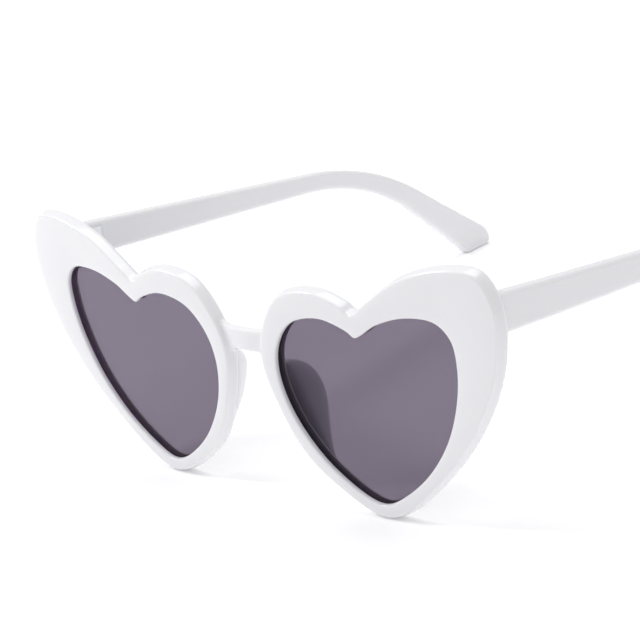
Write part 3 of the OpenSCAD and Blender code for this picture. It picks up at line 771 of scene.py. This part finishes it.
class GLASSES_OT_lenses(bpy.types.Operator):
    """Builds the two tinted lenses, seated in the grooves of the rims"""

    bl_idname = "glasses.lenses"
    bl_label = "Lenses"

    def execute(self, context):
        at = Layout(context.scene)
        lens = at.l
        back_depth = lens.recess + lens.thickness
        edge = [p + n * (lens.groove - lens.clearance) for p, n in zip(at.opening, at.opening_out)]
        for side, name in SIDES:
            bm = bmesh.new()
            front = start_ring(bm, [at.on_face(p, lens.recess) for p in edge])
            lens_face(bm, at, front, edge, lens.recess)
            back = extrude_ring(bm, front, [at.on_face(p, back_depth) for p in edge])
            lens_face(bm, at, back, edge, back_depth)
            if side < 0:
                mirrored(bm)
            bm.normal_update()
            for face in bm.faces:
                # the narrow side takes the second finish, whose near-black body is painted shade
                face.material_index = 1 if abs(face.normal.y) < EDGE_ON else 0
            piece = finish_mesh(bm, name + "_tinted_lens", at.shift)
            dress(piece, lens_plastic, "tinted_lens", "front", name + "_lens")
            piece.data.materials.append(finish_named(lens_edge, context.scene))
        return {"FINISHED"}


PAD_STEPS = 12
PAD_FULLNESS = 0.8  # exponent of a pad's round back, fuller when lower
PAD_START = 0.6  # share of the rim's back rounding that a pad keeps clear of
PAD_LEVELS = 2


def pad_section(at, z, reach, thickness):
    """Level section of a nose pad, from its outer end round its back to its end at the nose."""
    p = at.p
    start = at.nose_x(z) + at.f.back_round * PAD_START
    points = []
    for k in range(PAD_STEPS + 1):
        a = math.pi * k / PAD_STEPS
        d = reach * max(math.sin(a), 0) ** PAD_FULLNESS
        x = start + p.thickness / 2 + thickness / 2 * math.cos(a) + p.lean * d
        points.append(Vector((x, at.face_y(x, z, at.f.thickness) + p.glue + d, z)))
    return points


class GLASSES_OT_nose_pads(bpy.types.Operator):
    """Builds the two nose pads, glued behind the rims"""

    bl_idname = "glasses.nose_pads"
    bl_label = "Nose pads"

    def execute(self, context):
        at = Layout(context.scene)
        p = at.p
        top = at.bridge_z - at.f.bridge_height / 2 - p.top_gap
        sections = [pad_section(at, top - drop * p.height, reach * p.reach, thick * p.thickness)
                    for drop, reach, thick in PAD_SHARES]
        for side, name in SIDES:
            bm = bmesh.new()
            ring = start_ring(bm, sections[0])
            bmesh.ops.contextual_create(bm, geom=ring_edges(ring))
            for points in sections[1:]:
                ring = extrude_ring(bm, ring, points)
            bmesh.ops.contextual_create(bm, geom=ring_edges(ring))
            if side < 0:
                mirrored(bm)
            piece = finish_mesh(bm, name + "_pearl_pad", at.shift, sharp=180)
            smoother = piece.modifiers.new("Smooth form", "SUBSURF")
            smoother.levels = smoother.render_levels = PAD_LEVELS
            dress(piece, pearl_plastic, "pearl_plastic", "front", name + "_nose_pad")
        return {"FINISHED"}


STRAIGHT_STEPS, BEND_STEPS, DROP_STEPS = 16, 20, 6  # stations along a temple's three stretches
SQUARE_PART = 0.5  # share of the straight stretch over which the stations turn from upright to square
TIP_START = 0.4  # share of the stretch below the ear bend where the tip's own outline starts
PROBE = 0.01  # share of that stretch over which the growth of the height is measured
EDGE_STEPS, TURN_STEPS, HEEL_STEPS = 3, 8, 12  # points along the tip's straight edges and round its turns
TEMPLE_SEGMENTS = 5
SIDE_STRIP = 0.2  # width of the strip between a temple's rounded edge and its flat side
LEAF_MARGIN = 1.0  # how far a temple stays straight behind its hinge leaf


def heading(turn):
    """Direction in the side view, turned from straight up to the rear."""
    return Vector((math.sin(turn), math.cos(turn)))


def spaced(start, end, count):
    """Even points from a start, which is left out, to an end."""
    return [start.lerp(end, i / count) for i in range(1, count + 1)]


def rounded(centre, radius, start, end, count):
    """Points of an arc in the side view, between two headings."""
    return [centre + heading(mix(start, end, i / count)) * radius for i in range(1, count + 1)]


def tip_sides(at):
    """The tip's two edges in the side view: the lower one round the toe, the upper one round the heel."""
    t = at.t
    rear, down = math.pi / 2, math.pi
    start = t.straight + at.arc + at.drop * TIP_START
    probe = at.drop * PROBE
    turn = math.atan((at.height_at(start) - at.height_at(start - probe)) / (2 * probe))
    upper_slope, lower_slope = t.drop_slope - turn, t.drop_slope + turn
    middle = Vector(at.path_at(start))
    half = heading(t.drop_slope) * at.height_at(start) / 2
    upper, lower = middle + half, middle - half
    heel_y = at.drop_y + t.tip_reach
    shoulder_y = heel_y - t.tip_shoulder * (1 - math.sin(upper_slope))
    shoulder_z = upper.y - (shoulder_y - upper.x) * math.tan(upper_slope)
    shoulder = Vector((shoulder_y, shoulder_z))
    heel_r = shoulder_z - t.tip_shoulder * math.cos(upper_slope)
    turn_centre, heel_centre = Vector((heel_y - t.tip_shoulder, heel_r)), Vector((heel_y - heel_r, heel_r))
    toe_y = lower.x + lower.y / math.tan(lower_slope) + t.tip_toe * math.tan(lower_slope / 2)
    toe_centre = Vector((toe_y, t.tip_toe))
    toe_start = toe_centre + heading(down + lower_slope) * t.tip_toe
    uppers = (spaced(upper, shoulder, EDGE_STEPS)
              + rounded(turn_centre, t.tip_shoulder, upper_slope, rear, TURN_STEPS)
              + rounded(heel_centre, heel_r, rear, down, HEEL_STEPS))
    lowers = (spaced(lower, toe_start, EDGE_STEPS)
              + rounded(toe_centre, t.tip_toe, down + lower_slope, down, TURN_STEPS))
    return lowers, uppers


def temple_outline(at):
    """Side view of a temple as one closed line: along the upper edge to the tip and back along the lower."""
    t = at.t
    stations = [(t.straight * i / STRAIGHT_STEPS, t.slope * min(1, i / STRAIGHT_STEPS / SQUARE_PART))
                for i in range(STRAIGHT_STEPS + 1)]
    for i in range(1, BEND_STEPS + 1):
        s = t.straight + at.arc * i / BEND_STEPS
        stations.append((s, at.slope_at(s)))
    for i in range(1, DROP_STEPS + 1):
        s = t.straight + at.arc + at.drop * TIP_START * i / DROP_STEPS
        stations.append((s, t.drop_slope))
    lowers, uppers = [], []
    for s, lean in stations:
        half = heading(lean) * at.height_at(s) / 2
        lowers.append(Vector(at.path_at(s)) - half)
        uppers.append(Vector(at.path_at(s)) + half)
    tip_lowers, tip_uppers = tip_sides(at)
    return uppers + tip_uppers + (lowers + tip_lowers)[::-1]


def temple_body(bm, at):
    """The left temple: its side view pushed through its thickness, with the long edges rounded."""
    line = temple_outline(at)
    outer = start_ring(bm, [Vector((at.temple_out_x, p.x, p.y)) for p in line])
    bmesh.ops.contextual_create(bm, geom=ring_edges(outer))
    inner = extrude_ring(bm, outer, [Vector((at.temple_in_x, p.x, p.y)) for p in line])
    bmesh.ops.contextual_create(bm, geom=ring_edges(inner))
    bmesh.ops.recalc_face_normals(bm, faces=bm.faces)
    bevel(bm, ring_edges(outer)[1:] + ring_edges(inner)[1:], at.t.rounding, TEMPLE_SEGMENTS)
    sides = sorted(bm.faces, key=lambda face: face.calc_area())[-2:]
    bmesh.ops.inset_region(bm, faces=sides, thickness=SIDE_STRIP, use_even_offset=True)


def leaf_pocket(bm, at, limit):
    """Sinks the seat of the hinge leaf into a temple's inner side, in front of a limit along Y."""
    t, h = at.t, at.h
    root = Vector((at.temple_in_x, at.temple_y, at.temple_z))
    along = Vector((0, math.cos(t.slope), -math.sin(t.slope)))
    across = Vector((0, math.sin(t.slope), math.cos(t.slope)))
    start, end = h.temple_leaf_start - h.leaf_clear, h.temple_leaf_start + h.temple_leaf + h.leaf_clear
    half = at.hinge_h / 2 + h.leaf_clear
    near = [face for face in facing(bm, Vector((-1, 0, 0))) if face.calc_center_median().y < limit]
    seat = [max(near, key=lambda face: face.calc_area())]
    seat = window(bm, seat, root, along, start, end)
    seat = window(bm, seat, root, across, -half, half)
    sink(bm, seat, lambda v: Vector((root.x + h.leaf + h.leaf_clear, v.co.y, v.co.z)))


def toe_in(bm, at, start_y):
    """Leans a temple inwards behind its straight start, as far at the tip as one that leans all along."""
    lean = math.tan(at.t.toe_in) * (at.drop_y - at.temple_y) / (at.drop_y - start_y)
    for v in bm.verts:
        v.co.x -= max(0, v.co.y - start_y) * lean


class GLASSES_OT_temples(bpy.types.Operator):
    """Builds the two temples, bent down behind the ear and cut level at the tip"""

    bl_idname = "glasses.temples"
    bl_label = "Temples"

    def execute(self, context):
        at = Layout(context.scene)
        lean_start = at.temple_y + at.h.temple_leaf_start + at.h.temple_leaf + LEAF_MARGIN
        for side, name in SIDES:
            bm = bmesh.new()
            temple_body(bm, at)
            bmesh.ops.bisect_plane(
                bm, geom=bm.verts[:] + bm.edges[:] + bm.faces[:], dist=TOUCH,
                plane_co=(0, lean_start, 0), plane_no=(0, 1, 0))
            bm.normal_update()
            leaf_pocket(bm, at, lean_start)
            toe_in(bm, at, lean_start)
            if side < 0:
                mirrored(bm)
            piece = finish_mesh(bm, name + "_moulded_temple", at.shift)
            dress(piece, white_plastic, "white_plastic", name + "_temple_body", name + "_temple")
        return {"FINISHED"}


class GLASSES_OT_hardware(bpy.types.Operator):
    """Gives the hinges, screws and temple cores their steel"""

    bl_idname = "glasses.hardware"
    bl_label = "Hinges, screws and cores"

    def execute(self, context):
        for _, side in SIDES:
            for part in ("front_hinge", "hinge_screw", "front_leaf_screws", "temple_core",
                         "temple_hinge", "temple_leaf_screws"):
                redress(side + "_" + part, hinge_steel)
        return {"FINISHED"}


# Soft lights of the stage: name, share of the key light's power, diameter and place in metres
LIGHTS = (
    ("key_light", 1.0, 0.16, (-0.62, -0.36, 0.62)),
    ("top_light", 1.8, 0.9, (-0.1, 0.1, 1.1)))
LIGHT_AIM = Vector((0, 0, 0.03))
SKY_STRENGTH = 0.69


def add_floor(scene):
    """A wide pale floor under the glasses."""
    bm = bmesh.new()
    bmesh.ops.create_grid(bm, x_segments=4, y_segments=4, size=6.0)
    mesh = bpy.data.meshes.new("pale_floor")
    bm.to_mesh(mesh)
    bm.free()
    floor = bpy.data.objects.new("pale_floor", mesh)
    scene.collection.objects.link(floor)
    floor.data.materials.append(finish_named(floor_paper, scene))


def add_camera(scene, s):
    """The camera at the photo's place: aimed, moved back along its view and rolled about it."""
    back = Vector((math.sin(s.azimuth) * math.cos(s.elevation),
                   -math.cos(s.azimuth) * math.cos(s.elevation), math.sin(s.elevation)))
    right = Vector((math.cos(s.azimuth), math.sin(s.azimuth), 0))
    up = right.cross(-back)
    across = right * math.cos(s.roll) + up * math.sin(s.roll)
    above = -right * math.sin(s.roll) + up * math.cos(s.roll)
    place = Vector((s.aim_x, s.aim_y, s.aim_z)) + back * s.distance
    data = bpy.data.cameras.new("photo_camera")
    data.sensor_width = 36
    data.lens = s.lens
    data.clip_start = 0.01
    data.clip_end = 50
    camera = bpy.data.objects.new("photo_camera", data)
    scene.collection.objects.link(camera)
    camera.matrix_world = Matrix((
        (across.x, above.x, back.x, place.x), (across.y, above.y, back.y, place.y),
        (across.z, above.z, back.z, place.z), (0, 0, 0, 1)))
    scene.camera = camera


def add_lights(scene, key_power):
    """The soft round lights, each turned to the glasses."""
    for name, share, diameter, place in LIGHTS:
        light = bpy.data.lights.new(name, "AREA")
        light.energy = key_power * share
        light.shape = "DISK"
        light.size = diameter
        lamp = bpy.data.objects.new(name, light)
        scene.collection.objects.link(lamp)
        lamp.location = place
        lamp.rotation_euler = (Vector(place) - LIGHT_AIM).to_track_quat("Z", "Y").to_euler()


def add_sky(scene):
    """White surroundings, shown in their plain tones, because the default view turns white to grey."""
    world = bpy.data.worlds.new("studio_white")
    scene.world = world
    world.use_nodes = True
    scene.view_settings.view_transform = "Standard"
    sky = world.node_tree.nodes["Background"]
    sky.inputs["Color"].default_value = (1, 1, 1, 1)
    sky.inputs["Strength"].default_value = SKY_STRENGTH


class GLASSES_OT_stage(bpy.types.Operator):
    """Sets up the floor, the soft studio light and the camera"""

    bl_idname = "glasses.stage"
    bl_label = "Stage"

    def execute(self, context):
        scene = context.scene
        add_floor(scene)
        add_camera(scene, scene.heart_stage)
        add_lights(scene, scene.heart_stage.key_power)
        add_sky(scene)
        return {"FINISHED"}


class GLASSES_PT_panel(bpy.types.Panel):
    """Lists the pieces of the glasses"""

    bl_idname = "GLASSES_PT_panel"
    bl_label = "Heart sunglasses"
    bl_space_type = "VIEW_3D"
    bl_region_type = "UI"
    bl_category = "Glasses"

    def draw(self, context):
        for _, name in GROUPS:
            group = getattr(context.scene, name)
            box = self.layout.box()
            for field in fields(group):
                box.prop(group, field)
        for operator in OPERATORS:
            self.layout.operator(operator.bl_idname)


GROUPS = (
    (HeartFrontSizes, "heart_front"), (HeartLensSizes, "heart_lens"), (HeartPadSizes, "heart_pad"),
    (HeartTempleSizes, "heart_temple"), (HeartHingeSizes, "heart_hinge"), (HeartFinishes, "heart_finishes"),
    (HeartStageSizes, "heart_stage"))
OPERATORS = (GLASSES_OT_front, GLASSES_OT_lenses, GLASSES_OT_nose_pads, GLASSES_OT_temples,
             GLASSES_OT_hardware, GLASSES_OT_stage)


def register():
    for group, name in GROUPS:
        bpy.utils.register_class(group)
        setattr(bpy.types.Scene, name, PointerProperty(type=group))
    for operator in OPERATORS:
        bpy.utils.register_class(operator)
    bpy.utils.register_class(GLASSES_PT_panel)


def unregister():
    bpy.utils.unregister_class(GLASSES_PT_panel)
    for operator in reversed(OPERATORS):
        bpy.utils.unregister_class(operator)
    for group, name in reversed(GROUPS):
        delattr(bpy.types.Scene, name)
        bpy.utils.unregister_class(group)


def main():
    register()
    bpy.ops.glasses.stage()
    bpy.ops.glasses.front()
    bpy.ops.glasses.lenses()
    bpy.ops.glasses.nose_pads()
    bpy.ops.glasses.temples()
    bpy.ops.glasses.hardware()


if __name__ == "__main__":
    main()
